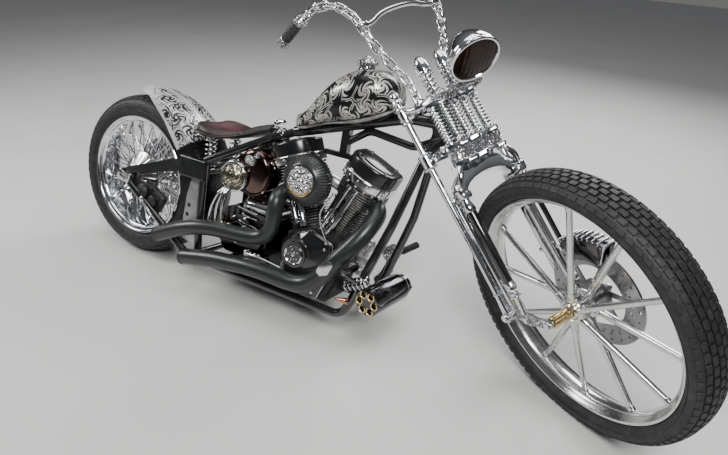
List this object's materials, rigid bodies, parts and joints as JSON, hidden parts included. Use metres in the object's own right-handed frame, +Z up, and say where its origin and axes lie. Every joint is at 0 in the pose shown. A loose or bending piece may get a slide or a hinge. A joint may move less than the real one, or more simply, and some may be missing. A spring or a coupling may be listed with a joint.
{
  "type": "chopper motorcycle",
  "caption": "Long-fork rigid-frame chopper motorcycle with V-twin engine, spring fork, chain-link handlebar and teardrop tank, leaning on its side stand.",
  "frame": {"origin": "bottom centre of the parked bike's bounding box, on the ground", "axes": "+X forward, +Y to the rider's left, +Z up"},
  "size_m": [2.4696, 0.8898, 1.19],
  "materials": {
    "black_frame": "gloss",
    "silver_paint": "gloss",
    "chrome": "polished",
    "dark_chrome": "polished",
    "black_engine": "satin",
    "cast_alloy": "satin",
    "pipe_black": "satin",
    "tyre_rubber": "matt",
    "leather_brown": "satin",
    "steel": "satin",
    "grip_dark": "satin"
  },
  "bodies": {
    "chassis": {"air_cleaner": "black_engine", "cam_cover": "black_engine", "cylinder_front": "black_engine", "cylinder_rear": "black_engine", "drive_chain": "steel", "engine_cases": "black_engine", "exhaust_front": "pipe_black", "exhaust_rear": "pipe_black", "foot_controls_left": "dark_chrome", "foot_controls_right": "dark_chrome", "frame_backbone": "black_frame", "frame_cradle": "black_frame", "frame_rear": "black_frame", "fuel_tank": "silver_paint", "gas_cap": "chrome", "gearbox": "cast_alloy", "oil_tank": "dark_chrome", "primary_case": "black_engine", "pushrod_tubes": "chrome", "rear_axle": "chrome", "rear_caliper": "dark_chrome", "rear_fender": "silver_paint", "rocker_box_front": "black_engine", "rocker_box_rear": "black_engine", "seat": "leather_brown", "seat_hinge": "chrome", "seat_springs": "chrome"},
    "rear_wheel": {"rear_rotor": "steel", "rear_sprocket": "steel", "rear_tyre": "tyre_rubber", "rear_wheel_rim": "chrome"},
    "fork": {"fork_damper_left": "chrome", "fork_damper_right": "chrome", "fork_frame": "chrome", "fork_inner_tubes": "chrome", "fork_spring_bank": "chrome", "front_axle_rockers": "chrome", "front_caliper": "dark_chrome", "grip_left": "grip_dark", "grip_right": "grip_dark", "handlebar": "chrome", "headlight": "chrome"},
    "front_wheel": {"front_rotor": "steel", "front_tyre": "tyre_rubber", "front_wheel_rim": "chrome"},
    "stand": {"side_stand": "black_frame"}
  },
  "joints": [
    {"name": "rear_wheel_spin", "type": "hinge", "parent": "chassis", "child": "rear_wheel", "pos_m": [-0.90889, -0.09949, 0.32279], "axis": [0, 0.9724, -0.2334], "continuous": true},
    {"name": "steering", "type": "hinge", "parent": "chassis", "child": "fork", "pos_m": [0.33798, 0.00697, 0.76625], "axis": [-0.668, 0.1737, 0.7236], "range_deg": [0, 80]},
    {"name": "front_wheel_spin", "type": "hinge", "parent": "fork", "child": "front_wheel", "pos_m": [0.86338, -0.18684, 0.39952], "axis": [0.4783, 0.8451, 0.2387], "continuous": true},
    {"name": "side_stand_fold", "type": "hinge", "parent": "chassis", "child": "stand", "pos_m": [0.11074, -0.00762, 0.05435], "axis": [0.0015, 0.2334, 0.9724], "range_deg": [0, 95]}
  ]
}
